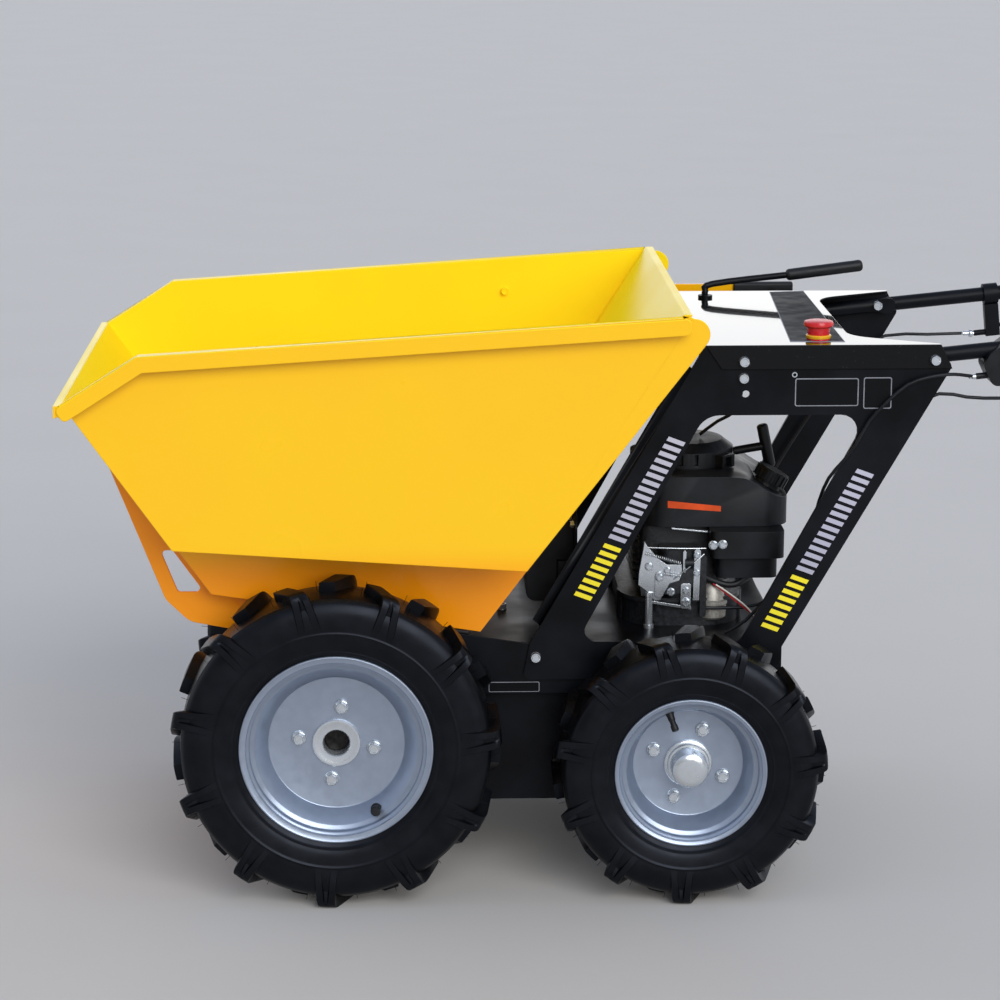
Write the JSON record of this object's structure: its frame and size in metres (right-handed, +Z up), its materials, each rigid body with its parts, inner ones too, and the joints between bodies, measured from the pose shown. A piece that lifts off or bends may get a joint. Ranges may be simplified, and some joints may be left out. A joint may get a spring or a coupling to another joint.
{
  "type": "walk-behind site dumper",
  "caption": "Walk-behind site dumper: steel tub that tips forward over lugged wheels, open engine in an A-shaped side frame, deck with stop button and handlebars.",
  "frame": {"origin": "centre of the bounding box, on the ground", "axes": "+X forward over the tub lip, +Y to the left, +Z up"},
  "size_m": [1.5545, 0.722, 0.848],
  "materials": {
    "yellow_paint": "gloss enamel",
    "black_paint": "satin powder coat",
    "tyre": "moulded rubber",
    "rim_paint": "silver paint",
    "rubber": "moulded rubber",
    "zinc": "zinc plate",
    "alloy": "cast",
    "black_plastic": "moulded",
    "deck_gloss": "gloss",
    "stop_red": "moulded",
    "cable_sheath": "extruded"
  },
  "bodies": {
    "chassis": {"tray": "black_paint", "drive_case": "black_paint", "hinge_pin": "zinc", "front_axle": "zinc", "rear_axle": "zinc", "tub_rest": "rubber", "bulkhead": "black_paint", "frame_plate_left": "black_paint", "frame_plate_right": "black_paint", "deck_cover": "deck_gloss", "handle_brackets": "black_paint", "handlebar_left": "black_paint", "handlebar_right": "black_paint", "grip_left": "rubber", "grip_right": "rubber", "control_box": "black_plastic", "hand_lever_left": "zinc", "hand_lever_right": "zinc", "shift_lever": "black_paint", "shift_grip": "rubber", "stop_button": "stop_red", "crankcase": "alloy", "cooling_shroud": "black_plastic", "recoil_cover": "black_plastic", "recoil_handle": "black_plastic", "fuel_cap": "black_plastic", "air_filter": "black_plastic", "carburettor": "zinc", "muffler": "zinc", "switch_box": "black_plastic", "control_cables": "cable_sheath"},
    "tub": {"tub_side_left": "yellow_paint", "tub_side_right": "yellow_paint", "tub_front": "yellow_paint", "tub_rear": "yellow_paint", "tub_floor": "yellow_paint", "belly_side_left": "yellow_paint", "belly_side_right": "yellow_paint", "hinge_plates": "yellow_paint", "tip_handle": "yellow_paint", "tip_grip": "rubber"},
    "wheel_front_left": {"tyre_front_left": "tyre", "rim_front_left": "rim_paint"},
    "wheel_front_right": {"tyre_front_right": "tyre", "rim_front_right": "rim_paint"},
    "wheel_rear_left": {"tyre_rear_left": "tyre", "rim_rear_left": "rim_paint"},
    "wheel_rear_right": {"tyre_rear_right": "tyre", "rim_rear_right": "rim_paint"}
  },
  "joints": [
    {"name": "tub_tip", "type": "hinge", "parent": "chassis", "child": "tub", "pos_m": [0.50752, 0, 0.392], "axis": [0, 1, 0], "range_deg": [0, 85]},
    {"name": "wheel_front_left_turn", "type": "hinge", "parent": "chassis", "child": "wheel_front_left", "pos_m": [0.39252, 0.307, 0.234], "axis": [0, 1, 0], "continuous": true},
    {"name": "wheel_front_right_turn", "type": "hinge", "parent": "chassis", "child": "wheel_front_right", "pos_m": [0.39252, -0.307, 0.234], "axis": [0, 1, 0], "continuous": true},
    {"name": "wheel_rear_left_turn", "type": "hinge", "parent": "chassis", "child": "wheel_rear_left", "pos_m": [-0.10848, 0.308, 0.195], "axis": [0, 1, 0], "continuous": true},
    {"name": "wheel_rear_right_turn", "type": "hinge", "parent": "chassis", "child": "wheel_rear_right", "pos_m": [-0.10848, -0.308, 0.195], "axis": [0, 1, 0], "continuous": true}
  ]
}
